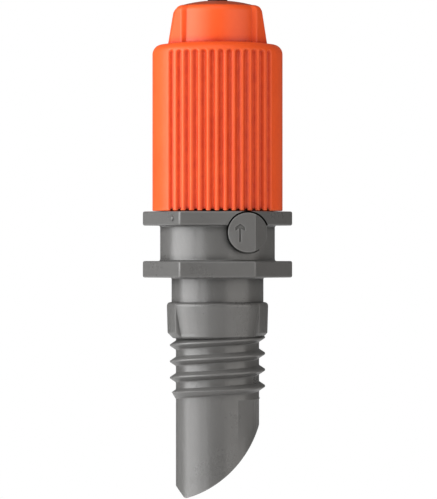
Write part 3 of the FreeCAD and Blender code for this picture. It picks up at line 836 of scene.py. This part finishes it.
def finished(piece, material, body, node):
    """Brings a piece to metres, smooths it, and gives it its finish and its place in the frame."""
    bpy.ops.object.select_all(action="DESELECT")
    piece.select_set(True)
    bpy.context.view_layer.objects.active = piece
    bpy.ops.object.mode_set(mode="EDIT")
    bpy.ops.mesh.select_all(action="SELECT")
    bpy.ops.transform.resize(value=(MM, MM, MM), center_override=(0, 0, 0))
    bpy.ops.object.mode_set(mode="OBJECT")
    bpy.ops.object.shade_smooth_by_angle(angle=radians(32))
    even = piece.modifiers.new("even_normals", "WEIGHTED_NORMAL")
    even.keep_sharp = True
    apply_all(piece)
    piece.data.materials.clear()
    piece.data.materials.append(material)
    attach(piece, body)
    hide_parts(node)


# Each finish has a lighter tone painted on its outer edges as highlight, and a darker tone painted in its
# corners and grooves as shade.
grey = moulded(
    "satin_grey_plastic", dark=(0.082, 0.081, 0.079, 1), light=(0.107, 0.105, 0.102, 1),
    highlight_tone=(0.17, 0.168, 0.165, 1), shade_tone=(0.026, 0.025, 0.024, 1),
    roughness=0.29, spread=0.10, shine=0.55, grain=0.5, ripple=0.9, bump=0.013)
orange = moulded(
    "glossy_orange_plastic", dark=(0.69, 0.066, 0.009, 1), light=(0.75, 0.094, 0.015, 1),
    highlight_tone=(0.80, 0.17, 0.05, 1), shade_tone=(0.42, 0.018, 0.004, 1),
    roughness=0.42, spread=0.06, shine=0.30, grain=0.25, ripple=0.6, bump=0.006)
# Painted shade: the dome on top of the cap's head is darkened, so that it stays dark under the top light.
painted_shade_above(orange, height=SHOULDER_Z + HEAD_HEIGHT + 0.03, tone=(0.22, 0.040, 0.015, 1), strength=0.75)
pin_black = moulded(
    "dark_pin_plastic", dark=(0.030, 0.030, 0.032, 1), light=(0.045, 0.045, 0.047, 1),
    highlight_tone=(0.10, 0.10, 0.10, 1), shade_tone=(0.015, 0.015, 0.015, 1),
    roughness=0.38, spread=0.08, shine=0.5, grain=0.4, ripple=0.4, bump=0.008)
rubber = moulded(
    "black_ring_rubber", dark=(0.012, 0.012, 0.012, 1), light=(0.022, 0.022, 0.022, 1),
    highlight_tone=(0.03, 0.03, 0.03, 1), shade_tone=(0.008, 0.008, 0.008, 1),
    roughness=0.62, spread=0.10, shine=0.4, grain=0.6, ripple=0.3, bump=0.008)

finished(body_moulding(), grey, "nozzle", "threaded_body")
finished(cap_moulding(), orange, "cap", "regulating_cap")
finished(spray_pin(), pin_black, "nozzle", "spray_pin")
finished(seal_ring(), rubber, "seal", "cap_seal_ring")

# ---- floor, light and camera --------------------------------------------------------------------------

scene = bpy.context.scene
scene.view_settings.view_transform = "Standard"

FLOOR_Z = -24
FLOOR_R = 140
FILL = 0.12                         # light from all round, against 1 for the white behind the part
CAMERA_PLACE = (0.055, -250, 1.548)


def floor():
    """A pale round floor below the part, which a look from underneath goes through."""
    bpy.ops.object.select_all(action="DESELECT")
    bpy.ops.mesh.primitive_circle_add(vertices=128, radius=FLOOR_R * MM, fill_type="NGON",
                                      location=(0, 0, FLOOR_Z * MM))
    disc = bpy.context.object
    disc.name = "floor"
    pale = bpy.data.materials.new("pale_floor")
    pale.use_nodes = True
    shader = pale.node_tree.nodes["Principled BSDF"]
    shader.inputs["Base Color"].default_value = (0.85, 0.85, 0.85, 1)
    shader.inputs["Roughness"].default_value = 0.9
    tree = pale.node_tree
    side = tree.nodes.new("ShaderNodeNewGeometry")
    clear = tree.nodes.new("ShaderNodeBsdfTransparent")
    either = tree.nodes.new("ShaderNodeMixShader")
    tree.links.new(side.outputs["Backfacing"], either.inputs["Fac"])
    tree.links.new(shader.outputs["BSDF"], either.inputs[1])
    tree.links.new(clear.outputs["BSDF"], either.inputs[2])
    tree.links.new(either.outputs["Shader"], tree.nodes["Material Output"].inputs["Surface"])
    disc.data.materials.append(pale)


def panel(name, turn, lift, distance, width, height, radiance, colour=(1, 1, 1)):
    """A soft box at this turn and lift in degrees round the part, aimed at its middle."""
    light = bpy.data.lights.new(name, "AREA")
    light.shape = "RECTANGLE"
    light.size, light.size_y = width * MM, height * MM
    light.energy = radiance * pi * light.size * light.size_y
    light.color = colour
    lamp = bpy.data.objects.new(name, light)
    turn, lift = radians(turn), radians(lift)
    direction = Vector((sin(turn) * cos(lift), -cos(turn) * cos(lift), sin(lift)))
    lamp.location = direction * distance * MM
    lamp.rotation_euler = direction.to_track_quat("Z", "Y").to_euler()
    scene.collection.objects.link(lamp)


def surroundings():
    """White where the camera looks past the part, and a dim fill light all round it."""
    world = bpy.data.worlds.new("studio")
    scene.world = world
    world.use_nodes = True
    tree = world.node_tree
    background = tree.nodes["Background"]
    path = tree.nodes.new("ShaderNodeLightPath")
    level = tree.nodes.new("ShaderNodeMapRange")
    level.inputs["To Min"].default_value = FILL
    level.inputs["To Max"].default_value = 1.0
    tree.links.new(path.outputs["Is Camera Ray"], level.inputs["Value"])
    tree.links.new(level.outputs["Result"], background.inputs["Strength"])
    background.inputs["Color"].default_value = (1, 1, 1, 1)


floor()
surroundings()
panel("left_softbox", turn=-76, lift=14, distance=150, width=150, height=170, radiance=5.6)
panel("left_strip", turn=-36, lift=8, distance=170, width=50, height=190, radiance=3.6)
panel("right_softbox", turn=52, lift=10, distance=170, width=200, height=170, radiance=2.0,
      colour=(1, 0.97, 0.93))
panel("top_softbox", turn=-15, lift=62, distance=160, width=150, height=120, radiance=1.5)

camera = bpy.data.objects.new("camera", bpy.data.cameras.new("camera"))
camera.location = Vector(CAMERA_PLACE) * MM
camera.rotation_euler = (QUARTER, 0, 0)
camera.data.sensor_width = 36
camera.data.lens = 326.2
camera.data.clip_start = 0.01
scene.collection.objects.link(camera)
scene.camera = camera
